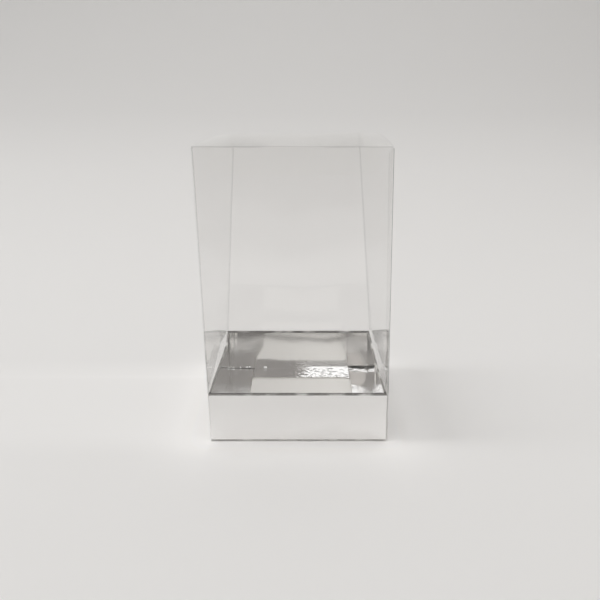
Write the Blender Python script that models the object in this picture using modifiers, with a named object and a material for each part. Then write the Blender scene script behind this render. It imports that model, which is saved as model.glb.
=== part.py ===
"""Clear plastic gift box: a folded film cover standing over a low folded card tray.

Metres, +Z up, the front faces -Y, and the origin is at the centre of the base.
The cover is one die-cut film blank: four side panels and a glue flap, with a lid,
a tuck flap and two dust flaps that open. The tray is one die-cut blank of card with
mirror foil on one side: its four walls roll over into inner leaves, whose tabs lie on
the floor, so the foil shows inside and out and the floor shows the card's white back.
"""

import math

import bmesh
import bpy
from mathutils import Matrix, Vector

# Film cover, driving sizes
COVER_WIDTH = 0.100
COVER_DEPTH = 0.100
COVER_HEIGHT = 0.1625
FILM = 0.00025
FILM_CREASE_RADIUS = 0.0010
BACK_TOP_DRAW_IN = 0.0100  # how far each back crease leans inwards at the top
BACK_TOP_LEAN = 0.0025  # how far the back panel leans forwards at the top
GLUE_FLAP_WIDTH = 0.0100
GLUE_FLAP_TAPER = 0.0030
DUST_CREASE_DROP = 0.0010  # the side panels are cut this much lower than the front
LID_RISE = 0.0030  # the lid bows upwards between its two creases
LID_RIDGE_SHARE = 0.6  # where the bow is highest, from the back crease to the front one
LID_SIDE_CLEARANCE = 0.0008
TUCK_LENGTH = 0.0140
TUCK_LEAN = math.radians(8)
TUCK_SIDE_CLEARANCE = 0.0065
TUCK_CORNER_RADIUS = 0.0070
TUCK_GAP = 0.0005  # between the front panel and the lid's front crease
DUST_LENGTH = 0.0350
DUST_FRONT_SETBACK = 0.0030
DUST_REAR_SETBACK = 0.0030
DUST_FRONT_TAPER = math.radians(4)
DUST_REAR_TAPER = math.radians(35)
DUST_CORNER_RADIUS = 0.0060

# Card tray, driving sizes
TRAY_HEIGHT = 0.0292
TRAY_CLEARANCE = 0.0003  # between the tray and the film round it
CARD = 0.0005
FLOOR_CREASE_RADIUS = 0.00055
FLOOR_TAB_LENGTH = 0.0150
CORNER_TAB_LENGTH = 0.0140
CORNER_TAB_CHAMFER = 0.0040
CORNER_TAB_FOOT = 0.0010

# Between neighbouring sheets
GAP = 0.0003

# Facets
CREASE_STEPS = 4
CORNER_STEPS = 6
PANEL_COLUMNS = 4
PANEL_ROWS = 6
BOW_STEPS = 14


def clear_scene():
    for obj in list(bpy.data.objects):
        bpy.data.objects.remove(obj)


def material(name, colour, roughness, metallic=0.0, alpha=1.0):
    made = bpy.data.materials.new(name)
    made.use_nodes = True
    shader = made.node_tree.nodes["Principled BSDF"]
    shader.inputs["Base Color"].default_value = (*colour, 1.0)
    shader.inputs["Roughness"].default_value = roughness
    shader.inputs["Metallic"].default_value = metallic
    shader.inputs["Alpha"].default_value = alpha
    return made


def fillet(before, corner, after, radius, steps):
    """Points of the arc that rounds a corner, from the side of before to the side of after."""
    to_before = (before - corner).normalized()
    to_after = (after - corner).normalized()
    half = to_before.angle(to_after) / 2
    centre = corner + (to_before + to_after).normalized() * radius / math.sin(half)
    first = corner + to_before * radius / math.tan(half) - centre
    last = corner + to_after * radius / math.tan(half) - centre
    turn = first.angle(last)
    points = []
    for step in range(steps + 1):
        share = step / steps
        near = math.sin((1 - share) * turn) / math.sin(turn)
        far = math.sin(share * turn) / math.sin(turn)
        points.append(centre + first * near + last * far)
    return points


def rounded(corners, radii, steps):
    """An open path through the corners, with an arc at each one that has a radius."""
    path = [corners[0]]
    for index in range(1, len(corners) - 1):
        before, corner, after = corners[index - 1 : index + 2]
        if radii[index] > 0:
            path += fillet(before, corner, after, radii[index], steps)
        else:
            path.append(corner)
    return path + [corners[-1]]


def placed(mesh, name, look, collection, parent):
    obj = bpy.data.objects.new(name, mesh)
    collection.objects.link(obj)
    obj.data.materials.append(look)
    obj.parent = parent
    return obj


def sheet(name, rows, thickness, look, collection, parent):
    """A sheet of even thickness through a grid of points, one list for each row."""
    grid = bmesh.new()
    made = [[grid.verts.new(point) for point in row] for row in rows]
    for low, high in zip(made, made[1:]):
        for column in range(len(low) - 1):
            corners = (low[column], low[column + 1], high[column + 1], high[column])
            grid.faces.new(corners)
    bmesh.ops.recalc_face_normals(grid, faces=grid.faces)
    mesh = bpy.data.meshes.new(name)
    grid.to_mesh(mesh)
    grid.free()
    mesh.shade_smooth()
    mesh.set_sharp_from_angle(angle=math.radians(35))
    obj = placed(mesh, name, look, collection, parent)
    shell = obj.modifiers.new("thickness", "SOLIDIFY")
    shell.thickness = thickness
    shell.offset = 0.0
    shell.use_even_offset = True
    return obj


def flat_flap(name, outline, thickness, look, collection, parent):
    """A flat flap cut to a closed outline in its own XY plane, centred on its thickness."""
    curve = bpy.data.curves.new(name, "CURVE")
    curve.dimensions = "2D"
    curve.fill_mode = "BOTH"
    curve.extrude = thickness / 2
    spline = curve.splines.new("POLY")
    spline.points.add(len(outline) - 1)
    for point, place in zip(spline.points, outline):
        point.co = (place.x, place.y, 0.0, 1.0)
    spline.use_cyclic_u = True
    return placed(curve, name, look, collection, parent)


def pivot(name, location, collection, parent=None):
    empty = bpy.data.objects.new(name, None)
    empty.empty_display_size = 0.02
    empty.location = location
    empty.parent = parent
    collection.objects.link(empty)
    return empty


def even_steps(start, end, count):
    """The points strictly between start and end that cut the stretch into count parts."""
    return [start.lerp(end, step / count) for step in range(1, count)]


# Sizes that the pieces share
FRONT_Y = -COVER_DEPTH / 2
LID_BACK_Y = COVER_DEPTH / 2 - BACK_TOP_LEAN
LID_UNDERSIDE = COVER_HEIGHT + 2 * GAP
LID_FRONT_Y = FRONT_Y + FILM + TUCK_GAP
SIDE_PANEL_TOP = COVER_HEIGHT - DUST_CREASE_DROP
DUST_UNDERSIDE = SIDE_PANEL_TOP + GAP
LAP = FILM + GAP  # middle of the side panel to the middle of the glue flap inside it
TRAY_HALF = COVER_WIDTH / 2 - FILM - TRAY_CLEARANCE - LAP / 2
TRAY_X = -LAP / 2  # the tray stands off the middle, clear of the glue flap on the right
TRAY_HALF_DEPTH = COVER_DEPTH / 2 - FILM - TRAY_CLEARANCE
END_LEAF_SPACING = 2 * (CARD + GAP)  # front and back walls, with a corner tab between
SIDE_LEAF_SPACING = CARD + GAP
SIDE_WALL_END = TRAY_HALF_DEPTH - CARD - END_LEAF_SPACING - GAP


def above_tray(height):
    """0 up to the tray's top edge, and rising evenly to 1 at the cover's."""
    return max(0.0, height - TRAY_HEIGHT) / (COVER_HEIGHT - TRAY_HEIGHT)


# Cover sleeve: one strip of film, folded round four creases and lapped at the front right

def sleeve_outline(height):
    """The strip's middle line seen from above, each point with the top of its panel."""
    half_width = (COVER_WIDTH - FILM) / 2
    half_depth = (COVER_DEPTH - FILM) / 2
    back_half_width = half_width - BACK_TOP_DRAW_IN * above_tray(height)
    back_y = half_depth - BACK_TOP_LEAN * above_tray(height)
    front_right = Vector((half_width, -half_depth))
    back_right = Vector((back_half_width, back_y))
    along_right = (back_right - front_right).normalized()
    lapped_corner = front_right - Vector((LAP, 0.0))
    corners = [
        lapped_corner + along_right * GLUE_FLAP_WIDTH,
        lapped_corner,
        Vector((-half_width, -half_depth)),
        Vector((-back_half_width, back_y)),
        back_right,
        front_right + along_right * (FILM_CREASE_RADIUS + 2 * GAP),
    ]
    # Glue flap, front panel, left panel, back panel, right panel
    tops = [SIDE_PANEL_TOP, COVER_HEIGHT, SIDE_PANEL_TOP, COVER_HEIGHT, SIDE_PANEL_TOP]
    points = [(corners[0], tops[0])]
    for index in range(1, len(corners) - 1):
        arc = fillet(*corners[index - 1 : index + 2], FILM_CREASE_RADIUS, CREASE_STEPS)
        if index > 1:
            panel = even_steps(points[-1][0], arc[0], PANEL_COLUMNS)
            points += [(point, tops[index - 1]) for point in panel]
        middle = len(arc) // 2
        points += [(point, tops[index - 1]) for point in arc[:middle]]
        points += [(point, tops[index]) for point in arc[middle:]]
    panel = even_steps(points[-1][0], corners[-1], PANEL_COLUMNS)
    points += [(point, tops[-1]) for point in panel]
    return points + [(corners[-1], tops[-1])]


def cover_sleeve(look, collection, parent):
    tray_share = TRAY_HEIGHT / COVER_HEIGHT
    shares = [0.0]
    for row in range(PANEL_ROWS + 1):
        shares.append(tray_share + (1 - tray_share) * row / PANEL_ROWS)
    rows = []
    for share in shares:
        outline = sleeve_outline(share * COVER_HEIGHT)
        row = [(point.x, point.y, share * top) for point, top in outline]
        flap_end, flap_top = outline[0]
        flap_z = GLUE_FLAP_TAPER + share * (flap_top - 2 * GLUE_FLAP_TAPER)
        row[0] = (flap_end.x, flap_end.y, flap_z)
        rows.append(row)
    return sheet("cover_sleeve", rows, FILM, look, collection, parent)


# Lid, bowed upwards, and the tuck flap on its front crease

def lid_panel(look, collection, parent):
    back_half = COVER_WIDTH / 2 - BACK_TOP_DRAW_IN - LID_SIDE_CLEARANCE
    front_half = COVER_WIDTH / 2 - LID_SIDE_CLEARANCE
    rear_edge = -FILM / 2
    length = LID_BACK_Y - LID_FRONT_Y + rear_edge
    skew = math.log(0.5) / math.log(LID_RIDGE_SHARE)
    rows = []
    for step in range(BOW_STEPS + 1):
        share = step / BOW_STEPS
        y = rear_edge - share * length
        z = FILM / 2 + LID_RISE * 4 * share**skew * (1 - share**skew)
        half = back_half + share * (front_half - back_half)
        rows.append([(-half, y, z), (0.0, y, z), (half, y, z)])
    return sheet("lid_panel", rows, FILM, look, collection, parent)


def tuck_flap(look, collection, parent):
    half = COVER_WIDTH / 2 - TUCK_SIDE_CLEARANCE
    corners = [
        Vector((half, -GAP)),
        Vector((half, -TUCK_LENGTH)),
        Vector((-half, -TUCK_LENGTH)),
        Vector((-half, -GAP)),
    ]
    radii = [0.0, TUCK_CORNER_RADIUS, TUCK_CORNER_RADIUS, 0.0]
    outline = rounded(corners, radii, CORNER_STEPS)
    flap = flat_flap("tuck_flap", outline, FILM, look, collection, parent)
    flap.rotation_euler = (math.pi / 2 + TUCK_LEAN, 0.0, 0.0)
    return flap


# Dust flaps, hinged on the side panels' top edges under the lid

def dust_flap(side, look, collection, parent):
    """side is -1 for the left flap and 1 for the right one."""
    front = Vector((side * COVER_WIDTH / 2, FRONT_Y))
    back = Vector((side * (COVER_WIDTH / 2 - BACK_TOP_DRAW_IN), LID_BACK_Y))
    crease_length = (back - front).length
    front_foot = DUST_FRONT_SETBACK + FILM
    rear_foot = crease_length - DUST_REAR_SETBACK
    corners = [
        Vector((front_foot, GAP)),
        Vector((front_foot + DUST_LENGTH * math.tan(DUST_FRONT_TAPER), DUST_LENGTH)),
        Vector((rear_foot - DUST_LENGTH * math.tan(DUST_REAR_TAPER), DUST_LENGTH)),
        Vector((rear_foot, GAP)),
    ]
    radii = [0.0, DUST_CORNER_RADIUS, DUST_CORNER_RADIUS, 0.0]
    cut = rounded(corners, radii, CORNER_STEPS)
    outline = [Vector((point.x, side * point.y)) for point in cut]
    side_name = "right" if side > 0 else "left"
    place = (front.x, front.y, DUST_UNDERSIDE)
    crease = pivot(f"dust_crease_{side_name}", place, collection, parent)
    crease.rotation_euler = (0.0, 0.0, math.atan2(back.y - front.y, back.x - front.x))
    flap = flat_flap(f"dust_flap_{side_name}", outline, FILM, look, collection, crease)
    flap.location = (0.0, 0.0, FILM / 2)
    return flap


# Card tray. Each wall is drawn facing the front, then turned about the tray's centre.

def turned(rows, quarter_turns):
    """The rows turned anticlockwise about the vertical axis, seen from above."""
    turn = Matrix.Rotation(math.radians(90 * quarter_turns), 3, "Z")
    return [[turn @ Vector(point) for point in row] for row in rows]


def across(path, half_widths):
    """Rows across X along a path in the YZ plane, each with its own half width."""
    return [[(-half, y, z), (half, y, z)] for (y, z), half in zip(path, half_widths)]


def outer_wall(outer_face, leaf_spacing, half_width):
    """Rows of a wall: the lip of its floor crease, the outer leaf, and the roll over its top."""
    leaf_y = -(outer_face - CARD / 2)
    lip = Vector((-(outer_face - CARD - leaf_spacing), CARD / 2))
    foot = Vector((leaf_y, CARD / 2))
    shoulder = Vector((leaf_y, roll_height(leaf_spacing)))
    path = [lip] + fillet(lip, foot, shoulder, FLOOR_CREASE_RADIUS, CREASE_STEPS)
    roll_steps = 2 * CREASE_STEPS
    for step in range(roll_steps + 1):
        angle = math.pi * (1 - step / roll_steps)
        across_roll = leaf_spacing / 2 * (1 + math.cos(angle))
        up_roll = leaf_spacing / 2 * math.sin(angle)
        path.append(Vector((leaf_y + across_roll, shoulder.y + up_roll)))
    return across(path, [half_width] * len(path))


def roll_height(leaf_spacing):
    """Where a wall's upright leaves end and its rolled top begins."""
    return TRAY_HEIGHT - CARD / 2 - leaf_spacing / 2


def inner_leaf(outer_face, leaf_spacing, half_width, tab_half_width):
    """Rows of a wall's inner leaf, down from its roll, and of its tab on the floor."""
    leaf_y = -(outer_face - CARD / 2 - leaf_spacing)
    tab_z = CARD + GAP + CARD / 2
    top = Vector((leaf_y, roll_height(leaf_spacing) - GAP))
    tab_end = Vector((leaf_y + FLOOR_TAB_LENGTH, tab_z))
    fold = fillet(top, Vector((leaf_y, tab_z)), tab_end, FLOOR_CREASE_RADIUS, CREASE_STEPS)
    path = [top, *fold, tab_end]
    half_widths = [half_width] * 2 + [tab_half_width] * (len(path) - 2)
    return across(path, half_widths)


def corner_tab(front_or_back, side, look, collection, parent):
    """A tab folded from a side wall's end, held between the leaves of the front or back wall.

    Both arguments are -1 or 1.
    """
    tab_y = TRAY_HALF_DEPTH - CARD / 2 - END_LEAF_SPACING / 2
    wall_x = TRAY_HALF - CARD / 2
    crease = END_LEAF_SPACING / 2
    top = roll_height(END_LEAF_SPACING) - GAP
    corner = Vector((wall_x, tab_y))
    end = Vector((wall_x - CORNER_TAB_LENGTH, tab_y))
    path = fillet(corner - Vector((0.0, crease)), corner, end, crease, CREASE_STEPS)
    path += [end + Vector((CORNER_TAB_CHAMFER, 0.0)), end]
    rows = [[], []]
    for index, point in enumerate(path):
        chamfer = CORNER_TAB_CHAMFER if index == len(path) - 1 else 0.0
        x = side * point.x
        y = front_or_back * point.y
        rows[0].append((x, y, CARD + CORNER_TAB_FOOT + chamfer))
        rows[1].append((x, y, top - chamfer))
    end_name = "front" if front_or_back < 0 else "back"
    side_name = "left" if side < 0 else "right"
    name = f"corner_tab_{end_name}_{side_name}"
    return sheet(name, rows, CARD, look, collection, parent)


def tray_floor(look, collection, parent):
    half_x = TRAY_HALF - CARD - SIDE_LEAF_SPACING - GAP
    half_y = SIDE_WALL_END
    outline = [Vector((x * half_x, y * half_y)) for x, y in ((-1, -1), (1, -1), (1, 1), (-1, 1))]
    floor = flat_flap("tray_floor", outline, CARD, look, collection, parent)
    floor.location = (0.0, 0.0, CARD / 2)
    return floor


def tray_walls(look, collection, parent):
    """The four outer walls with their rolls, and the four inner leaves with their tabs."""
    side_tab_half = SIDE_WALL_END - FLOOR_CREASE_RADIUS
    side_tab_edge = TRAY_HALF - CARD / 2 - SIDE_LEAF_SPACING - FLOOR_TAB_LENGTH
    end_leaf_half = TRAY_HALF - CARD - GAP
    end_sizes = (TRAY_HALF_DEPTH, END_LEAF_SPACING)
    side_sizes = (TRAY_HALF, SIDE_LEAF_SPACING)
    end_rows = outer_wall(*end_sizes, TRAY_HALF)
    side_rows = outer_wall(*side_sizes, SIDE_WALL_END)
    end_leaf_rows = inner_leaf(*end_sizes, end_leaf_half, side_tab_edge - GAP)
    side_leaf_rows = inner_leaf(*side_sizes, SIDE_WALL_END, side_tab_half)
    for quarter_turns, name in enumerate(("front", "right", "back", "left")):
        at_side = name in ("left", "right")
        wall = turned(side_rows if at_side else end_rows, quarter_turns)
        leaf = turned(side_leaf_rows if at_side else end_leaf_rows, quarter_turns)
        sheet(f"tray_{name}_wall", wall, CARD, look, collection, parent)
        sheet(f"{name}_inner_leaf", leaf, CARD, look, collection, parent)


def build():
    clear_scene()
    parts = bpy.data.collections.new("clear_gift_box")
    bpy.context.scene.collection.children.link(parts)

    film = material("clear_film", (0.93, 0.94, 0.94), 0.05, alpha=0.25)
    white_card = material("white_card", (0.80, 0.79, 0.77), 0.5)
    silver_card = material("silver_foil_card", (0.86, 0.86, 0.85), 0.08, metallic=1.0)

    tray = pivot("tray", (TRAY_X, 0.0, 0.0), parts)
    tray_floor(white_card, parts, tray)
    tray_walls(silver_card, parts, tray)
    for front_or_back in (-1, 1):
        for side in (-1, 1):
            corner_tab(front_or_back, side, silver_card, parts, tray)

    cover = pivot("cover", (0.0, 0.0, 0.0), parts)
    cover_sleeve(film, parts, cover)
    lid_crease = pivot("lid_crease", (0.0, LID_BACK_Y, LID_UNDERSIDE), parts, cover)
    lid_panel(film, parts, lid_crease)
    tuck_place = (0.0, LID_FRONT_Y - LID_BACK_Y, 0.0)
    tuck_crease = pivot("tuck_crease", tuck_place, parts, lid_crease)
    tuck_flap(film, parts, tuck_crease)
    for side in (-1, 1):
        dust_flap(side, film, parts, cover)


build()
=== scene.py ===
"""Looks of the clear gift box: folded film cover over a mirror card tray, on a pale table.

Everything is in metres in the frame of the CAD part: the box stands on Z = 0 and faces -Y.
The film and card pieces repeat the part's sizes, with more columns and rows so that they
can lean, bow and crinkle.
"""

import math

import bmesh
import bpy
from mathutils import Matrix, Vector, noise


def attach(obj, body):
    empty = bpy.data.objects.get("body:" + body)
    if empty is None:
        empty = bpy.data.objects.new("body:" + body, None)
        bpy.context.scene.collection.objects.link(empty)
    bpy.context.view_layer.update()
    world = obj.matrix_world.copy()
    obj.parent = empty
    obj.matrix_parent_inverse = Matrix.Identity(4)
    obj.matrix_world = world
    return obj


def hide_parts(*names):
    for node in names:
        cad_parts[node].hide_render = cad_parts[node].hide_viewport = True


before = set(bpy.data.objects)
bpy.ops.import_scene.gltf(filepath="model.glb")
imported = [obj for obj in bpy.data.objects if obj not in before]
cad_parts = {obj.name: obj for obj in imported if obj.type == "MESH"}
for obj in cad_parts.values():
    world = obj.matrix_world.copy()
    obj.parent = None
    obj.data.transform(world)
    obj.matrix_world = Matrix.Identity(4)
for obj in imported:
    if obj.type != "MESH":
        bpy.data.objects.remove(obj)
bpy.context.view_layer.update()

# Sizes of the part
COVER_HALF = 0.050
COVER_HEIGHT = 0.1625
FILM = 0.00025
GAP = 0.0003
CREASE_RADIUS = 0.0010
BACK_TOP_DRAW_IN = 0.0100
BACK_TOP_LEAN = 0.0025
GLUE_FLAP_WIDTH = 0.0100
GLUE_FLAP_TAPER = 0.0030
LAP = FILM + GAP
SIDE_PANEL_TOP = COVER_HEIGHT - 0.0010
LID_BACK_Y = COVER_HALF - BACK_TOP_LEAN
LID_FRONT_Y = -COVER_HALF + FILM + 0.0005
LID_UNDERSIDE = COVER_HEIGHT + 2 * GAP
LID_SIDE_CLEARANCE = 0.0008
LID_RISE = 0.0030
LID_BOW_SKEW = math.log(0.5) / math.log(0.6)
TUCK_LENGTH = 0.0140
TUCK_LEAN = math.radians(8)
TUCK_HALF = COVER_HALF - 0.0065
TUCK_CORNER = 0.0070
DUST_LENGTH = 0.0350
DUST_CORNER = 0.0060
DUST_SETBACK = 0.0030
DUST_FRONT_TAPER = math.tan(math.radians(4))
DUST_REAR_TAPER = math.tan(math.radians(35))
DUST_MIDDLE = SIDE_PANEL_TOP + GAP + FILM / 2
TRAY_HEIGHT = 0.0292
TRAY_CLEARANCE = 0.0003
TRAY_HALF = COVER_HALF - FILM - TRAY_CLEARANCE - LAP / 2
TRAY_HALF_DEPTH = COVER_HALF - FILM - TRAY_CLEARANCE
TRAY_X = -LAP / 2
CARD = 0.0005
END_SPACING = 0.0016
SIDE_SPACING = 0.0008
SIDE_WALL_END = TRAY_HALF_DEPTH - CARD - END_SPACING - GAP
FLOOR_CREASE = 0.00055
FLOOR_TAB = 0.0150
SIDE_TAB_HALF = SIDE_WALL_END - GAP
SIDE_TAB_EDGE = TRAY_HALF - CARD / 2 - SIDE_SPACING - FLOOR_TAB

# How the real box stands: its top leans to the left, more at the front than at the back
LEAN_FRONT = 0.0031
LEAN_BACK = 0.0018

# How its lid lies: with less of a bow at the left, and its front edge a little low
LID_LEFT_SHARE = 0.4
LID_FRONT_DROP = 0.0007


# Node helpers

def opaque(colour):
    return (*colour, 1.0)


class NodeTree:
    """Adds nodes to the tree of one material or world.

    Where a node takes a value, it also takes a socket, or a node for its first output.
    """

    def __init__(self, owner):
        owner.use_nodes = True
        self.nodes = owner.node_tree.nodes
        self.links = owner.node_tree.links
        self.nodes.clear()

    def add(self, kind, inputs=None, operation=None):
        node = self.nodes.new(kind)
        # A node's operation decides which of its inputs can be found by name
        if operation:
            node.operation = operation
        for key, given in (inputs or {}).items():
            if isinstance(given, bpy.types.Node):
                given = given.outputs[0]
            if isinstance(given, bpy.types.NodeSocket):
                self.links.new(given, node.inputs[key])
            else:
                node.inputs[key].default_value = given
        return node

    def math(self, operation, *values):
        return self.add("ShaderNodeMath", dict(enumerate(values)), operation)

    def vector_math(self, operation, *values):
        return self.add("ShaderNodeVectorMath", dict(enumerate(values)), operation)

    def scaled(self, colour, factor):
        return self.add("ShaderNodeVectorMath", {0: colour, "Scale": factor}, "SCALE")

    def split(self, vector):
        """Sockets of the vector's X, Y and Z."""
        return self.add("ShaderNodeSeparateXYZ", {0: vector}).outputs[:]

    def smooth_range(self, value, start, end):
        """0 at start and before it, 1 at end and beyond, smooth in between."""
        inputs = {"Value": value, "From Min": start, "From Max": end}
        node = self.add("ShaderNodeMapRange", inputs)
        node.interpolation_type = "SMOOTHSTEP"
        return node

    def fading(self, distance, reach):
        """1 at no distance, falling away exponentially."""
        return self.math("EXPONENT", self.math("MULTIPLY", distance, -1 / reach))

    def ramp(self, value, stops):
        """Blends colours. stops are (position, colour), from the lowest to the highest."""
        node = self.add("ShaderNodeValToRGB", {"Fac": value})
        elements = node.color_ramp.elements
        for index, (position, colour) in enumerate((stops[0], stops[-1])):
            elements[index].position = position
            elements[index].color = opaque(colour)
        for position, colour in stops[1:-1]:
            elements.new(position).color = opaque(colour)
        return node

    def grain(self, scale, detail):
        """Noise fixed to the object."""
        place = self.add("ShaderNodeTexCoord").outputs["Object"]
        inputs = {"Vector": place, "Scale": scale, "Detail": detail}
        return self.add("ShaderNodeTexNoise", inputs).outputs["Fac"]

    def bump(self, height, strength, distance):
        inputs = {"Height": height, "Strength": strength, "Distance": distance}
        return self.add("ShaderNodeBump", inputs)

    def mixed(self, share, first, second):
        return self.add("ShaderNodeMixShader", {"Fac": share, 1: first, 2: second})

    def surface(self, shader, output="ShaderNodeOutputMaterial"):
        self.add(output, {"Surface": shader})


def new_material(name):
    made = bpy.data.materials.new(name)
    return made, NodeTree(made)


# Materials

FILM_SHADOW = (0.99, 0.99, 0.99)
FOIL_BUMP = 0.0004
# Painted glints on the foil that is painted dark: the size of their spots, and where they begin
# and are full
GLINT_SCALE = 110.0
GLINT_FROM = 0.52
GLINT_TO = 0.66
CARD_ROUGHNESS = 0.55
CARD_GRAIN_SCALE = 900.0
CARD_GRAIN_RANGE = (0.3, 0.7)
CARD_DARKER = 0.95
CARD_BUMP = 0.0001
CARD_BUMP_STRENGTH = 0.15


def film_material(name, tint, straight_on, roughness, mirrored=1.0, low_angle=0.75):
    """Clear film: it lets light straight through and mirrors more at a low angle.

    straight_on is the share it mirrors at a right angle, and low_angle what a low one adds.
    """
    made, tree = new_material(name)
    through = tree.add("ShaderNodeBsdfTransparent", {"Color": opaque(tint)})
    gloss_inputs = {"Color": opaque([mirrored] * 3), "Roughness": roughness}
    gloss = tree.add("ShaderNodeBsdfAnisotropic", gloss_inputs)
    angle = tree.add("ShaderNodeLayerWeight", {"Blend": 0.5})
    steep = tree.math("POWER", angle.outputs["Facing"], 5.0)
    share = tree.math("MULTIPLY_ADD", steep, low_angle, straight_on)
    film = tree.mixed(share, through, gloss)
    shadow = tree.add("ShaderNodeBsdfTransparent", {"Color": opaque(FILM_SHADOW)})
    light = tree.add("ShaderNodeLightPath")
    tree.surface(tree.mixed(light.outputs["Is Shadow Ray"], film, shadow))
    return made


def foil_material(name, colour, roughness, crinkle, glint_colour=None, grain_scale=260.0):
    """Mirror foil. Where a second colour is given, it is painted on in spots as glints: painted
    highlights where the foil catches the light.
    """
    made, tree = new_material(name)
    base = opaque(colour)
    if glint_colour:
        spots = tree.grain(GLINT_SCALE, 3.0)
        base = tree.ramp(spots, ((GLINT_FROM, colour), (GLINT_TO, glint_colour)))
    tree.surface(tree.add("ShaderNodeBsdfPrincipled", {
        "Base Color": base,
        "Metallic": 1.0,
        "Roughness": roughness,
        "Normal": tree.bump(tree.grain(grain_scale, 4.0), crinkle, FOIL_BUMP),
    }))
    return made


def card_material(name, colour):
    made, tree = new_material(name)
    grain = tree.grain(CARD_GRAIN_SCALE, 6.0)
    darker = [channel * CARD_DARKER for channel in colour]
    tree.surface(tree.add("ShaderNodeBsdfPrincipled", {
        "Base Color": tree.ramp(grain, list(zip(CARD_GRAIN_RANGE, (darker, colour)))),
        "Roughness": CARD_ROUGHNESS,
        "Normal": tree.bump(grain, CARD_BUMP_STRENGTH, CARD_BUMP),
    }))
    return made


FILM_FACE = film_material("clear_film_face", tint=(0.995, 0.994, 0.993), straight_on=0.040,
                          roughness=0.06, mirrored=0.95, low_angle=0.62)
FILM_TOP_FACE = film_material("clear_film_top_face", tint=(0.995, 0.995, 0.993),
                              straight_on=0.040, roughness=0.0)
# Creases: their darker tint is painted shade, drawing the dark lines that folded film shows
FILM_CREASE = film_material("clear_film_crease", tint=(0.93, 0.93, 0.93),
                            straight_on=0.080, roughness=0.10)
FILM_LOW_CREASE = film_material("clear_film_low_crease", tint=(0.985, 0.985, 0.985),
                                straight_on=0.03, roughness=0.10, low_angle=0.25)
# Cut edges: their dark tint is partly how a cut edge of clear film looks, and partly painted
# shade for the dark line at the foot of the box
FILM_EDGE = film_material("clear_film_cut_edge", tint=(0.38, 0.38, 0.38),
                          straight_on=0.120, roughness=0.20)
FILM_TOP_EDGE = film_material("clear_film_top_edge", tint=(0.90, 0.90, 0.90),
                              straight_on=0.040, roughness=0.10)
FOIL = foil_material("silver_foil_face", (0.953, 0.950, 0.946), roughness=0.13, crinkle=0.03)
# The folds: foil painted a little darker than the face, as shade in the fold
FOIL_FOLD = foil_material("silver_foil_fold", (0.90, 0.895, 0.885), roughness=0.12, crinkle=0.10)
# The rolled rims and the walls' feet: foil painted dark as shade, with painted glints of bright
# foil in it
FOIL_RIM_PAINTED_SHADE = foil_material("silver_foil_rim_painted_shade", (0.38, 0.37, 0.36), roughness=0.16,
                         crinkle=0.12, glint_colour=(0.95, 0.95, 0.94))
FOIL_CREASED = foil_material("silver_foil_creased_tab", (0.94, 0.937, 0.933), roughness=0.08,
                             crinkle=0.10, grain_scale=800.0)
CARD_BACK = card_material("white_card_back", (0.965, 0.95, 0.915))

# The looks of a sheet: what its faces have, then what the cut edges beside them have
FILM_LOOKS = {
    "panel": (FILM_FACE, FILM_EDGE),
    "crease": (FILM_CREASE, FILM_EDGE),
    "faint edge": (FILM_FACE, FILM_TOP_EDGE),
    "low crease": (FILM_LOW_CREASE, FILM_EDGE),
}
FILM_TOP_LOOKS = {"panel": (FILM_TOP_FACE, FILM_TOP_EDGE)}
FOIL_LOOKS = {
    "face": (FOIL, CARD_BACK),
    "fold": (FOIL_FOLD, CARD_BACK),
    "rim": (FOIL_RIM_PAINTED_SHADE, FOIL_RIM_PAINTED_SHADE),
    "creased": (FOIL_CREASED, CARD_BACK),
}


# Sheets

SHARP_FROM = math.radians(40)


def new_object(name, data):
    obj = bpy.data.objects.new(name, data)
    bpy.context.scene.collection.objects.link(obj)
    return obj


def smooth_mesh(name, grid):
    """The mesh of a bmesh, which it frees."""
    mesh = bpy.data.meshes.new(name)
    grid.to_mesh(mesh)
    grid.free()
    mesh.shade_smooth()
    return mesh


def fillet(before, corner, after, radius, steps):
    """Points of the arc that rounds a corner, from the side of before to the side of after."""
    to_before = (before - corner).normalized()
    to_after = (after - corner).normalized()
    half = to_before.angle(to_after) / 2
    centre = corner + (to_before + to_after).normalized() * radius / math.sin(half)
    first = corner + to_before * radius / math.tan(half) - centre
    last = corner + to_after * radius / math.tan(half) - centre
    turn = first.angle(last)
    points = []
    for step in range(steps + 1):
        share = step / steps
        near = math.sin((1 - share) * turn) / math.sin(turn)
        far = math.sin(share * turn) / math.sin(turn)
        points.append(centre + first * near + last * far)
    return points


def spread(start, end, count):
    """count + 1 points from start to end."""
    return [start.lerp(end, step / count) for step in range(count + 1)]


def apply_modifiers(obj):
    bpy.context.view_layer.update()
    graph = bpy.context.evaluated_depsgraph_get()
    baked = bpy.data.meshes.new_from_object(obj.evaluated_get(graph))
    obj.modifiers.clear()
    old = obj.data
    obj.data = baked
    bpy.data.meshes.remove(old)


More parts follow.
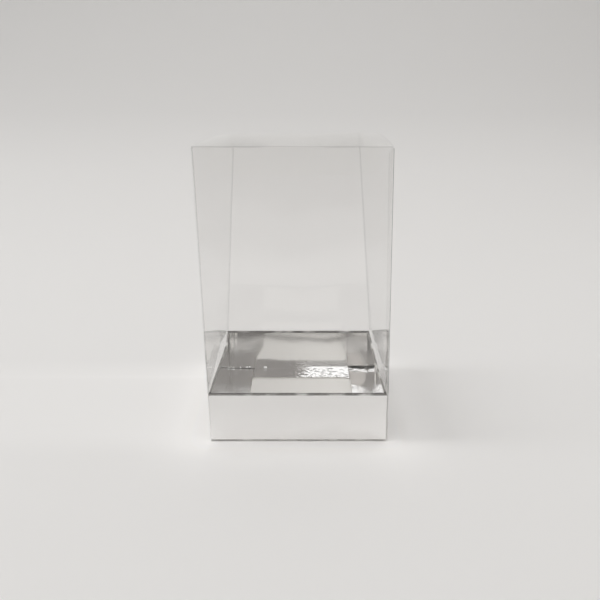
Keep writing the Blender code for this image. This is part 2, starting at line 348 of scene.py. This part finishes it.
def sheet(name, rows, thickness, looks, body, node, look_of=None):
    """A closed sheet through a grid of points, which replaces a node of the part.

    look_of names the looks of a face. Without it, every face has the first ones.
    """
    grid = bmesh.new()
    points = [[grid.verts.new(point) for point in row] for row in rows]
    places = {look: 2 * index for index, look in enumerate(looks)}
    for row, (low, high) in enumerate(zip(points, points[1:])):
        for column in range(len(low) - 1):
            corners = (low[column], low[column + 1], high[column + 1], high[column])
            face = grid.faces.new(corners)
            if look_of:
                face.material_index = places[look_of(row, column)]
    bmesh.ops.recalc_face_normals(grid, faces=grid.faces)
    mesh = smooth_mesh(name, grid)
    for face_look, edge_look in looks.values():
        mesh.materials.append(face_look)
        mesh.materials.append(edge_look)
    obj = new_object(name, mesh)
    shell = obj.modifiers.new("thickness", "SOLIDIFY")
    shell.thickness = thickness
    shell.offset = 0.0
    shell.use_even_offset = True
    shell.material_offset_rim = 1
    apply_modifiers(obj)
    obj.data.set_sharp_from_angle(angle=SHARP_FROM)
    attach(obj, body)
    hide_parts(node)


def smooth_step(value):
    value = min(1.0, max(0.0, value))
    return value * value * (3 - 2 * value)


def leaning(point):
    """A point of the box, moved with its lean to the left."""
    x, y, z = point
    backness = (y + COVER_HALF) / (2 * COVER_HALF)
    lean = LEAN_FRONT + (LEAN_BACK - LEAN_FRONT) * backness
    return Vector((x - lean * min(z / COVER_HEIGHT, 1.0), y, z))


# Cover: the sleeve and the lid

PANEL_COLUMNS = 16
CREASE_STEPS = 6
LOW_ROWS = 2
HIGH_ROWS = 24
LID_ROWS = 40
LID_COLUMNS = 24

WAVE = 0.00030
WAVE_SIZE = 0.034
WAVE_START = 0.004
WAVE_FADE = 0.03
WAVE_TOP_CALM = 0.7
WAVE_FULLNESS = 0.6
WAVE_NOISE_PLACE = Vector((3.0, 7.0, 1.0))


def above_tray(height):
    """0 at the tray's top edge and below, 1 at the cover's top edge."""
    return max(0.0, height - TRAY_HEIGHT) / (COVER_HEIGHT - TRAY_HEIGHT)


def waved(outline, height):
    """The panels' slow waves: none at the folds, the glue flap and the tray."""
    strength = WAVE * smooth_step((height - TRAY_HEIGHT - WAVE_START) / WAVE_FADE)
    strength *= 1 - WAVE_TOP_CALM * smooth_step((height - COVER_HEIGHT + WAVE_FADE) / WAVE_FADE)
    folds = [index for index, (point, top, fold) in enumerate(outline) if fold]
    made = []
    for index, (point, top, fold) in enumerate(outline):
        before = [i for i in folds if i <= index]
        after = [i for i in folds if i >= index]
        if fold or not before or not after:
            made.append((point, top, fold))
            continue
        first, last = outline[before[-1]][0], outline[after[0]][0]
        share = (point - first).length / (last - first).length
        along = (last - first).normalized()
        push = strength * math.sin(math.pi * share) ** WAVE_FULLNESS
        spot = Vector((point.x / WAVE_SIZE, point.y / WAVE_SIZE, height / WAVE_SIZE))
        push *= 2 * noise.noise(spot + WAVE_NOISE_PLACE)
        made.append((point + Vector((-along.y, along.x)) * push, top, fold))
    return made


def sleeve_outline(height):
    """Middle line of the strip: points with the top of their panel and whether they fold."""
    half = COVER_HALF - FILM / 2
    back_half = half - BACK_TOP_DRAW_IN * above_tray(height)
    back_y = half - BACK_TOP_LEAN * above_tray(height)
    front_right = Vector((half, -half))
    back_right = Vector((back_half, back_y))
    along_right = (back_right - front_right).normalized()
    lapped_corner = front_right - Vector((LAP, 0.0))
    corners = [
        lapped_corner + along_right * GLUE_FLAP_WIDTH,
        lapped_corner,
        Vector((-half, -half)),
        Vector((-back_half, back_y)),
        back_right,
        front_right + along_right * (CREASE_RADIUS + 2 * GAP),
    ]
    tops = [SIDE_PANEL_TOP, COVER_HEIGHT, SIDE_PANEL_TOP, COVER_HEIGHT, SIDE_PANEL_TOP]
    outline = [(corners[0], tops[0], False)]
    for index in range(1, len(corners) - 1):
        arc = fillet(*corners[index - 1 : index + 2], CREASE_RADIUS, CREASE_STEPS)
        # The first panel is the glue flap, one flat piece
        if index > 1:
            panel = spread(outline[-1][0], arc[0], PANEL_COLUMNS)[1:-1]
            outline += [(point, tops[index - 1], False) for point in panel]
        for step, point in enumerate(arc):
            top = tops[index - 1] if step < len(arc) // 2 else tops[index]
            outline.append((point, top, step < len(arc) - 1))
    panel = spread(outline[-1][0], corners[-1], PANEL_COLUMNS)[1:]
    outline += [(point, tops[-1], False) for point in panel]
    return outline


def make_sleeve():
    tray_share = TRAY_HEIGHT / COVER_HEIGHT
    shares = [tray_share * row / LOW_ROWS for row in range(LOW_ROWS)]
    shares += [tray_share + (1 - tray_share) * row / HIGH_ROWS for row in range(HIGH_ROWS + 1)]
    rows = []
    for share in shares:
        outline = waved(sleeve_outline(share * COVER_HEIGHT), share * COVER_HEIGHT)
        row = [(point.x, point.y, share * top) for point, top, fold in outline]
        flap_end, flap_top = outline[0][:2]
        flap_z = GLUE_FLAP_TAPER + share * (flap_top - 2 * GLUE_FLAP_TAPER)
        row[0] = (flap_end.x, flap_end.y, flap_z)
        rows.append([leaning(point) for point in row])
    folds = [fold for point, top, fold in sleeve_outline(0.0)]

    def look_of(row, column):
        # The lapped corner and the flap's free edge hardly show through the crease over them,
        # and the creases and the strip's other end hardly show beside the bright table
        low = row < LOW_ROWS
        if column <= CREASE_STEPS or (low and column == len(folds) - 2):
            return "faint edge"
        if not folds[column]:
            return "panel"
        return "low crease" if low else "crease"

    sheet("film_sleeve", rows, FILM, FILM_LOOKS, "cover", "cover_sleeve", look_of)


def make_lid():
    back_half = COVER_HALF - BACK_TOP_DRAW_IN - LID_SIDE_CLEARANCE
    front_half = COVER_HALF - LID_SIDE_CLEARANCE
    rows = []
    for step in range(LID_ROWS + 1):
        share = step / LID_ROWS
        y = LID_BACK_Y - FILM / 2 - share * (LID_BACK_Y - LID_FRONT_Y - FILM / 2)
        bow = share**LID_BOW_SKEW
        z = LID_UNDERSIDE + FILM / 2 - LID_FRONT_DROP * share**3
        half = back_half + share * (front_half - back_half)
        row = []
        for column in range(LID_COLUMNS + 1):
            across = column / LID_COLUMNS
            rise = LID_RISE * (LID_LEFT_SHARE + (1 - LID_LEFT_SHARE) * smooth_step(across))
            row.append(leaning((half * (2 * across - 1), y, z + rise * 4 * bow * (1 - bow))))
        rows.append(row)
    sheet("film_lid", rows, FILM, FILM_TOP_LOOKS, "lid", "lid_panel")


make_sleeve()
make_lid()


# Tuck flap and dust flaps

FLAP_STEPS = 8
FLAP_COLUMNS = 12


def corner_inset(to_end, radius):
    """How far a rounded corner has pulled an edge in, this far from the flap's end."""
    if to_end >= radius:
        return 0.0
    return radius - math.sqrt(radius**2 - (radius - to_end) ** 2)


def flap_steps(length, radius):
    """Distances from the crease to the flap's end, close together round its corners."""
    straight = [GAP + (length - radius - GAP) * step / FLAP_STEPS for step in range(FLAP_STEPS)]
    turns = [math.pi / 2 * step / FLAP_STEPS for step in range(FLAP_STEPS + 1)]
    return straight + [length - radius + radius * math.sin(turn) for turn in turns]


def make_tuck():
    rows = []
    for out in flap_steps(TUCK_LENGTH, TUCK_CORNER):
        half = TUCK_HALF - corner_inset(TUCK_LENGTH - out, TUCK_CORNER)
        y = LID_FRONT_Y + out * math.sin(TUCK_LEAN)
        z = LID_UNDERSIDE - LID_FRONT_DROP - out * math.cos(TUCK_LEAN)
        rows.append([leaning((half * (2 * column / FLAP_COLUMNS - 1), y, z))
                     for column in range(FLAP_COLUMNS + 1)])
    sheet("film_tuck_flap", rows, FILM, FILM_TOP_LOOKS, "tuck", "tuck_flap")


def make_dust_flap(name, side):
    """side is -1 on the left and 1 on the right."""
    front = Vector((side * COVER_HALF, -COVER_HALF))
    back = Vector((side * (COVER_HALF - BACK_TOP_DRAW_IN), LID_BACK_Y))
    along = (back - front).normalized()
    inwards = Vector((-side * along.y, side * along.x))
    rows = []
    for out in flap_steps(DUST_LENGTH, DUST_CORNER):
        inset = corner_inset(DUST_LENGTH - out, DUST_CORNER)
        first = DUST_SETBACK + FILM + out * DUST_FRONT_TAPER + inset
        last = (back - front).length - DUST_SETBACK - out * DUST_REAR_TAPER - inset
        ends = [front + along * place + inwards * out for place in (first, last)]
        rows.append([leaning((point.x, point.y, DUST_MIDDLE))
                     for point in spread(*ends, FLAP_COLUMNS)])
    sheet(f"film_dust_flap_{name}", rows, FILM, FILM_TOP_LOOKS, f"dust_{name}",
          f"dust_flap_{name}")


make_tuck()
make_dust_flap("left", -1)
make_dust_flap("right", 1)


# Tray: every wall is made facing the front, then turned about the tray's centre

WALL_COLUMNS = 108
FOLD_STEPS = 6
WALL_ROWS = 10
LEAF_ROWS = 16
ROLL_STEPS = 12
CURL_START = 0.0120

BOW_POWER = 1.5

# How much the card crinkles, and which places in the noise the walls and leaves read
WALL_CRINKLE = 0.00006
LEAF_CRINKLE = 0.00010
CRINKLE_SIZE = 0.016
CRINKLE_FINER = 3.1
CRINKLE_FINE_SHARE = 0.25
CRINKLE_FINE_SEED = 9.0
WALL_SEED = 3.7
LEAF_SEED = 5.3
FIRST_LEAF_SEED = 40.0
CREASE_SEED = 5.0
CREASE_FINE_SEED = 8.0
CREASE_FINER = 2.3
CREASE_FINE_SHARE = 0.5
CREASE_FADE_ROWS = 4


def crinkled(path, half_widths, amount, seed):
    """Rows across X along a path in the YZ plane, pushed in and out like handled foil card."""
    rows = []
    run = 0.0
    for index, (point, half) in enumerate(zip(path, half_widths)):
        before = path[max(index - 1, 0)]
        after = path[min(index + 1, len(path) - 1)]
        run += (point - before).length
        along = (after - before).normalized()
        normal = Vector((0.0, -along.y, along.x))
        row = []
        for column in range(WALL_COLUMNS + 1):
            x = half * (2 * column / WALL_COLUMNS - 1)
            wave = noise.noise(Vector((x / CRINKLE_SIZE, run / CRINKLE_SIZE, seed)))
            fine = noise.noise(Vector((CRINKLE_FINER * x / CRINKLE_SIZE,
                                       CRINKLE_FINER * run / CRINKLE_SIZE,
                                       seed + CRINKLE_FINE_SEED)))
            push = amount * (wave + CRINKLE_FINE_SHARE * fine)
            row.append(Vector((x, point.x, point.y)) + normal * push)
        rows.append(row)
    return rows


def moved(rows, first, shift_of):
    """The rows, with the points from the row first on shifted by shift_of(index, row, point)."""
    made = list(rows[:first])
    for index, row in enumerate(rows[first:], first):
        made.append([point + Vector(shift_of(index, row, point)) for point in row])
    return made


def bowed(rows, bow, bow_x):
    """Pushes a wall inwards round bow_x, most at its top edge and not at its ends."""
    def shift_of(index, row, point):
        half = row[-1].x
        room = half + bow_x if point.x < bow_x else half - bow_x
        push = smooth_step(1 - abs(point.x - bow_x) / room)
        return 0.0, push * (bow * (point.z / TRAY_HEIGHT) ** BOW_POWER), 0.0

    return moved(rows, 0, shift_of)


def lifted(rows, upright, lift, start, end):
    """Raises a leaf's fold off the floor between start and end, so that its tab slopes."""
    fold, top_z, tab_y = rows[upright - 1][0], rows[0][0].z, rows[-1][0].y

    def shift_of(index, row, point):
        if index < upright:
            share = (top_z - point.z) / (top_z - fold.z)
        else:
            share = (tab_y - point.y) / (tab_y - fold.y)
        along = smooth_step((point.x - start) / (end - start))
        return 0.0, 0.0, lift * along * min(1.0, share)

    return moved(rows, 0, shift_of)


def creased(rows, first, amount, size, start, end):
    """Crumples the rows of a tab from the row first on, more and more from start to end."""
    def shift_of(index, row, point):
        share = smooth_step((point.x - start) / (end - start))
        share *= smooth_step((index - first + 1) / CREASE_FADE_ROWS)
        wave = noise.noise(Vector((point.x / size, point.y / size, CREASE_SEED)))
        fine = noise.noise(Vector((CREASE_FINER * point.x / size,
                                   CREASE_FINER * point.y / size, CREASE_FINE_SEED)))
        return 0.0, 0.0, amount * share * (wave + CREASE_FINE_SHARE * fine)

    return moved(rows, first, shift_of)


def pressed_in(rows, push, start, peak, end_share=0.1):
    """Pushes a leaf inwards, straight from nothing at start to most at peak.

    Beyond the peak the push falls to end_share of it at the leaf's end.
    """
    def shift_of(index, row, point):
        end = math.copysign(row[-1].x, peak)
        if (point.x - peak) * (end - peak) > 0:
            share = 1 - (1 - end_share) * (point.x - peak) / (end - peak)
        else:
            share = (point.x - start) / (peak - start)
        return 0.0, push * max(0.0, share), 0.0

    return moved(rows, 0, shift_of)


def sprung(rows, upright, lift):
    """Raises a floor tab's free edge, as its fold springs open a little."""
    fold_y, tab_y = rows[upright][0].y, rows[-1][0].y

    def shift_of(index, row, point):
        return 0.0, 0.0, lift * ((row[0].y - fold_y) / (tab_y - fold_y))

    return moved(rows, upright, shift_of)


def ridged(rows, upright, place, reach, depth, fade_rows=5):
    """Presses an upright crease into a leaf at one place along it, none at its floor fold."""
    def shift_of(index, row, point):
        strength = depth * smooth_step((upright - 1 - index) / fade_rows)
        return 0.0, strength * math.exp(-(((point.x - place) / reach) ** 2)), 0.0

    return moved(rows, 0, shift_of)


def domed(rows, first, centre, reach, height):
    """Raises a round dome on a floor tab. centre is along the wall and out from its plane."""
    fold_y = rows[first][0].y

    def shift_of(index, row, point):
        away = math.hypot(point.x - centre[0], point.y - fold_y - centre[1]) / reach
        return 0.0, 0.0, height * math.exp(-(away**2))

    return moved(rows, first, shift_of)


def turned_up(rows, first, lift, start, end):
    """Turns up the end of a floor tab, from start to end along its wall."""
    def shift_of(index, row, point):
        return 0.0, 0.0, lift * smooth_step((point.x - start) / (end - start))

    return moved(rows, first, shift_of)


def worn_back(rows, upright, fold_end):
    """The back leaf's wear: a sloping, crumpled tab, an embossed line and a soft ridge."""
    rows = lifted(rows, upright, lift=0.0020, start=0.005, end=-0.010)
    rows = creased(rows, fold_end, amount=0.00020, size=0.0019, start=0.017, end=0.002)
    rows = pressed_in(rows, push=0.0008, start=0.040, peak=-0.034)
    rows = ridged(rows, upright, place=0.0448, reach=0.0014, depth=0.00035)
    return ridged(rows, upright, place=0.023, reach=0.0075, depth=0.0006, fade_rows=upright)


def worn_right(rows, upright, fold_end):
    """The right leaf's wear: a sprung tab with a dent and a crumpled, turned up corner."""
    rows = sprung(rows, upright, lift=0.0006)
    rows = domed(rows, fold_end, centre=(0.019, 0.0115), reach=0.0065, height=0.0008)
    rows = turned_up(rows, fold_end, lift=0.0008, start=0.041, end=SIDE_TAB_HALF)
    rows = creased(rows, fold_end, amount=0.00030, size=0.0040, start=0.034, end=0.042)
    return ridged(rows, upright, place=-0.007, reach=0.0020, depth=0.0005)


def placed(rows, quarter_turns):
    """A wall's rows turned to its side of the tray, leaning with the cover."""
    turn = Matrix.Rotation(math.radians(90 * quarter_turns), 3, "Z")
    return [[leaning(turn @ point + Vector((TRAY_X, 0.0, 0.0))) for point in row] for row in rows]


def roll_height(spacing):
    """Where a wall's straight part ends and its rolled rim begins."""
    return TRAY_HEIGHT - CARD / 2 - spacing / 2


def wall_path(outer_face, spacing):
    """Middle line of a wall from the floor over the rim, and the rows where parts of it end."""
    leaf_y = -(outer_face - CARD / 2)
    lip = Vector((-(outer_face - CARD - spacing), CARD / 2))
    foot = Vector((leaf_y, CARD / 2))
    shoulder = Vector((leaf_y, roll_height(spacing)))
    path = [lip] + fillet(lip, foot, shoulder, FLOOR_CREASE, FOLD_STEPS)
    folded = len(path)
    path += spread(path[-1], shoulder, WALL_ROWS)[1:-1]
    straight = len(path)
    for step in range(ROLL_STEPS + 1):
        angle = math.pi * (1 - step / ROLL_STEPS)
        path.append(Vector((leaf_y + spacing / 2 * (1 + math.cos(angle)),
                            shoulder.y + spacing / 2 * math.sin(angle))))
    return path, folded, straight


def leaf_path(outer_face, spacing, curl, tab):
    """Middle line of an inner leaf and its floor tab, and the rows round the fold."""
    leaf_y = -(outer_face - CARD / 2 - spacing)
    tab_z = CARD + GAP + CARD / 2
    top = Vector((leaf_y, roll_height(spacing) - GAP))
    tab_end = Vector((leaf_y + tab, tab_z))
    fold = fillet(top, Vector((leaf_y, tab_z)), tab_end, FLOOR_CREASE, FOLD_STEPS)
    upright = spread(top, fold[0], LEAF_ROWS)
    for point in upright:
        point.x -= curl * max(0.0, (point.y - CURL_START) / (top.y - CURL_START)) ** 2
    flat = spread(fold[-1], tab_end, LEAF_ROWS)[1:]
    return upright + fold[1:] + flat, len(upright), len(upright) + len(fold) - 1


END_WALL = {
    "outer_face": TRAY_HALF_DEPTH,
    "spacing": END_SPACING,
    "wall_half": TRAY_HALF,
    "leaf_half": TRAY_HALF - CARD - GAP,
    "tab_half": SIDE_TAB_EDGE - GAP,
}
SIDE_WALL = {
    "outer_face": TRAY_HALF,
    "spacing": SIDE_SPACING,
    "wall_half": SIDE_WALL_END,
    "leaf_half": SIDE_WALL_END,
    "tab_half": SIDE_TAB_HALF,
}
WALLS = {
    "front": {"turns": 0, **END_WALL, "tab_shift": 0.0016},
    "right": {"turns": 1, **SIDE_WALL, "bow": 0.0006, "tab_longer": -0.0016, "worn": worn_right},
    "back": {"turns": 2, **END_WALL, "curl": 0.0007, "tab_shift": -0.0016, "worn": worn_back,
             "tab_look": "creased"},
    "left": {"turns": 3, **SIDE_WALL, "bow": 0.0014, "bow_x": -0.026, "tab_longer": 0.0016},
}


def make_wall(name, turns, outer_face, spacing, wall_half, leaf_half, tab_half, bow=0.0,
              bow_x=0.0, curl=0.0, tab_longer=0.0, tab_shift=0.0, worn=None, tab_look="face"):
    """A wall and its inner leaf, spacing apart.

    Each is twice its half wide. Both bow inwards round bow_x, the leaf's top curls towards
    the wall, and the leaf's floor tab is a little longer and shifted along the wall.
    """
    path, folded, straight = wall_path(outer_face, spacing)
    rows = crinkled(path, [wall_half] * len(path), WALL_CRINKLE, turns * WALL_SEED)
    # A wall's foot and its rolled rim take the rim look, which is foil painted dark as shade
    sheet(f"foil_{name}_wall", placed(bowed(rows, bow, bow_x), turns), CARD, FOIL_LOOKS, "tray",
          f"tray_{name}_wall",
          lambda row, column: "face" if folded - 1 <= row < straight else "rim")
    path, upright, fold_end = leaf_path(outer_face, spacing, curl, FLOOR_TAB + tab_longer)
    halves = [leaf_half] * upright + [tab_half] * (len(path) - upright)
    rows = crinkled(path, halves, LEAF_CRINKLE, turns * LEAF_SEED + FIRST_LEAF_SEED)
    rows = moved(rows, upright, lambda index, row, point: (tab_shift, 0.0, 0.0))
    if worn:
        rows = worn(rows, upright, fold_end)

    def look_of(row, column):
        if upright - 1 <= row < fold_end - 1:
            return "fold"
        return tab_look if row >= fold_end else "face"

    sheet(f"foil_{name}_leaf", placed(bowed(rows, bow, bow_x), turns), CARD, FOIL_LOOKS, "tray",
          f"{name}_inner_leaf", look_of)


for name, sizes in WALLS.items():
    make_wall(name, **sizes)

# The floor and the corner tabs show the part's own solids
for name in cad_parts:
    if name.startswith("corner_tab"):
        for material_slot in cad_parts[name].material_slots:
            material_slot.material = FOIL
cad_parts["tray_floor"].material_slots[0].material = CARD_BACK


# Table and backdrop: one pale sweep, and the room round it

# The room as mirrors see it, by height from 0.5 at the horizon to 1 overhead, and its one
# colour as the camera sees it
ROOM_LOW = (0.235, 0.222, 0.210)
ROOM_LEVEL = (0.270, 0.255, 0.242)
ROOM_HIGH = (0.185, 0.176, 0.168)
ROOM_TONES = ((0.50, ROOM_LOW), (0.62, ROOM_LEVEL), (0.95, ROOM_HIGH))
ROOM_SEEN = (0.62, 0.61, 0.60)
# Where the window side begins and is fully bright, as X of the direction
WINDOW_SIDE = (-0.10, -0.20)
WINDOW_GAIN = 1.3

TABLE_YS = (-3.0, -0.6, 0.0, 0.4)
SWEEP_HALF_WIDTH = 4.0
SWEEP_RADIUS = 1.4
SWEEP_STEPS = 24
SWEEP_TOP = 4.0

# The sweep's colour by height, painted darker higher up as shade, and the painted glow of the
# foil on it
BACKDROP_TINT = (1.0, 0.992, 0.979)
BACKDROP_TONES = ((0.0, 0.820), (0.05, 0.795), (0.14, 0.725), (0.22, 0.705), (0.40, 0.685),
                  (0.60, 0.66))
# Painted light: the sweep's colour grows brighter towards the right
BRIGHTER_TO_RIGHT = 0.10
CLOSE_REACH = 0.016
CLOSE_GLOW = 0.36
LEFT_REACH = 0.12
LEFT_GLOW = 0.08
LEFT_EDGES = (COVER_HALF + 0.02, COVER_HALF - 0.01)
STREAK_Y = 0.036
STREAK_WIDTH = 0.003
STREAK_GLOW = 0.05
NO_HEIGHT = 10.0

# Heights over which mirrors see the backdrop painted brighter, as a painted reflection
LID_MIRRORS = (0.05, 0.25)
LID_GLOW = 0.16
# Where the sweep ends in mirrors: Y in front of the box, Z behind it, and the glossy depth
# that tells a mirror in a mirror
MIRRORED_END = (-0.42, -0.58)
MIRRORED_TOP = (0.48, 0.75)
MIRROR_IN_MIRROR = 1.5
# How far beside and in front of the box the table begins to melt into the room
FAR_SIDE = 1.0
FAR_FRONT = 0.6
FAR_FADE = 0.5


def table_material():
    made, tree = new_material("pale_table")
    position = tree.add("ShaderNodeNewGeometry").outputs["Position"]
    x, y, z = tree.split(position)
    light = tree.add("ShaderNodeLightPath").outputs

    # Painted light: the table's colour is made brighter where the foil would throw light back on
    # it, closely all round the box and far to the left, where it leaves a broad band with one
    # streak in it
    beside = tree.vector_math("ABSOLUTE", position)
    beside = tree.vector_math("SUBTRACT", beside, (COVER_HALF, COVER_HALF, NO_HEIGHT))
    beside = tree.vector_math("MAXIMUM", beside, (0.0, 0.0, 0.0))
    away = tree.vector_math("LENGTH", beside).outputs["Value"]
    leftwards = tree.math("MULTIPLY_ADD", x, -1.0, -COVER_HALF)
    left = tree.math("GREATER_THAN", leftwards, 0.0)
    left = tree.math("MULTIPLY", left, tree.fading(leftwards, LEFT_REACH))
    band = tree.smooth_range(tree.math("ABSOLUTE", y), *LEFT_EDGES)
    off_streak = tree.math("ABSOLUTE", tree.math("SUBTRACT", y, STREAK_Y))
    glow = tree.math("MULTIPLY", tree.fading(off_streak, STREAK_WIDTH), STREAK_GLOW)
    glow = tree.math("MULTIPLY_ADD", band, LEFT_GLOW, glow)
    glow = tree.math("MULTIPLY", glow, left)
    glow = tree.math("MULTIPLY_ADD", tree.fading(away, CLOSE_REACH), CLOSE_GLOW, glow)
    glow = tree.math("ADD", glow, 1.0)

    # Painted reflection: in glossy rays the backdrop is painted brighter at these heights, so
    # that the film lid mirrors it as brightly as what stands behind it
    mirrored = tree.smooth_range(z, *LID_MIRRORS)
    mirrored = tree.math("MULTIPLY", mirrored, light["Is Glossy Ray"])
    glow = tree.math("MULTIPLY_ADD", mirrored, LID_GLOW, glow)
    # Painted shade and light on the sweep: darker higher up, brighter to the right, and brighter
    # where the foil's painted glow falls
    tones = [(height, [level * channel for channel in BACKDROP_TINT])
             for height, level in BACKDROP_TONES]
    rightwards = tree.math("MULTIPLY_ADD", x, BRIGHTER_TO_RIGHT, 1.0)
    colour = tree.scaled(tree.ramp(z, tones), tree.math("MULTIPLY", rightwards, glow))
    table = tree.add("ShaderNodeBsdfDiffuse", {"Color": colour})

    # In mirrors the sweep ends in front of the box, and where the foil mirrors the foil it
    # also ends high up behind the box, where the dim room begins
    end = tree.smooth_range(y, *MIRRORED_END)
    top = tree.smooth_range(z, *MIRRORED_TOP)
    again = tree.math("GREATER_THAN", light["Glossy Depth"], MIRROR_IN_MIRROR)
    ended = tree.math("MAXIMUM", end, tree.math("MULTIPLY", top, again))
    ended = tree.math("MULTIPLY", ended, light["Is Glossy Ray"])
    dim = tree.add("ShaderNodeEmission", {"Color": opaque(ROOM_LOW)})
    table = tree.mixed(ended, table, dim)

    # Seen from other sides, the far table melts into the pale room
    aside = tree.math("SUBTRACT", tree.math("ABSOLUTE", x), FAR_SIDE)
    ahead = tree.math("MULTIPLY_ADD", y, -1.0, -FAR_FRONT)
    far = tree.smooth_range(tree.math("MAXIMUM", aside, ahead), 0.0, FAR_FADE)
    far = tree.math("MULTIPLY", far, light["Is Camera Ray"])
    pale = tree.add("ShaderNodeEmission", {"Color": opaque(ROOM_SEEN)})
    tree.surface(tree.mixed(far, table, pale))
    return made


def sweep():
    profile = [(y, 0.0) for y in TABLE_YS]
    bend_y = TABLE_YS[-1]
    for step in range(1, SWEEP_STEPS + 1):
        angle = math.pi / 2 * step / SWEEP_STEPS
        profile.append((bend_y + SWEEP_RADIUS * math.sin(angle),
                        SWEEP_RADIUS - SWEEP_RADIUS * math.cos(angle)))
    profile.append((bend_y + SWEEP_RADIUS, SWEEP_TOP))
    grid = bmesh.new()
    rows = [[grid.verts.new((x, y, z)) for x in (-SWEEP_HALF_WIDTH, SWEEP_HALF_WIDTH)]
            for y, z in profile]
    for low, high in zip(rows, rows[1:]):
        grid.faces.new((low[0], low[1], high[1], high[0]))
    obj = new_object("table_sweep", smooth_mesh("table_sweep", grid))
    obj.data.materials.append(table_material())


def room():
    """Dim in front and overhead, as the mirrors see it, and pale where the camera sees it."""
    world = bpy.data.worlds.new("room")
    tree = NodeTree(world)
    x, _, z = tree.split(tree.add("ShaderNodeTexCoord").outputs["Generated"])
    light = tree.add("ShaderNodeLightPath").outputs
    tones = tree.ramp(tree.math("MULTIPLY_ADD", z, 0.5, 0.5), ROOM_TONES)
    # The mirrors see the room brighter towards the window on the left
    window = tree.smooth_range(x, *WINDOW_SIDE)
    window = tree.math("MULTIPLY", window, light["Is Glossy Ray"])
    window = tree.math("MULTIPLY_ADD", window, WINDOW_GAIN, 1.0)
    seen = tree.add("ShaderNodeMixRGB", {
        "Fac": light["Is Camera Ray"],
        "Color1": tree.scaled(tones, window),
        "Color2": opaque(ROOM_SEEN),
    })
    back = tree.add("ShaderNodeBackground", {"Color": seen})
    tree.surface(back, "ShaderNodeOutputWorld")
    bpy.context.scene.world = world


sweep()
room()


# Lights: a soft overhead source, a key from the left, and a lamp for the mirrors only

def area_light(name, place, target, size, power):
    data = bpy.data.lights.new(name, "AREA")
    data.shape = "RECTANGLE"
    data.size, data.size_y = size
    data.energy = power
    obj = new_object(name, data)
    obj.location = place
    obj.rotation_euler = (Vector(target) - Vector(place)).to_track_quat("-Z", "Y").to_euler()
    obj.visible_glossy = False
    obj.visible_camera = False


def glow_card(name, left, right, y, low, high, strength):
    """A bright upright card behind the camera, seen only in the mirrors of the object."""
    mesh = bpy.data.meshes.new(name)
    corners = [(left, y, low), (right, y, low), (right, y, high), (left, y, high)]
    mesh.from_pydata(corners, [], [(0, 1, 2, 3)])
    made, tree = new_material(name)
    tree.surface(tree.add("ShaderNodeEmission", {"Strength": strength}))
    mesh.materials.append(made)
    obj = new_object(name, mesh)
    obj.visible_camera = False
    obj.visible_diffuse = False
    obj.visible_shadow = False


area_light("overhead", place=(0.0, 0.0, 1.7), target=(0.0, 0.0, 0.0), size=(2.4, 2.4), power=24.5)
area_light("key_left", place=(-2.0, 0.0, 0.75), target=(0.0, 0.0, 0.02), size=(0.45, 1.4),
           power=18.5)
glow_card("lamp_in_front", left=-0.29, right=0.45, y=-0.80, low=0.60, high=0.92, strength=1.35)


# Camera

CAMERA_PLACE = (0.0005, -0.3757, 0.1903)
CAMERA_TILT = math.radians(71.9)
CAMERA_LENS = 39.2
CAMERA_CLIP_START = 0.01
# Enough for a ray through every panel of film, and back by way of the foil
FILM_LAYERS = 48

camera = new_object("camera", bpy.data.cameras.new("camera"))
camera.data.lens = CAMERA_LENS
camera.data.clip_start = CAMERA_CLIP_START
camera.location = CAMERA_PLACE
camera.rotation_euler = (CAMERA_TILT, 0.0, 0.0)
scene = bpy.context.scene
scene.camera = camera
scene.view_settings.view_transform = "Standard"
scene.cycles.transparent_max_bounces = FILM_LAYERS
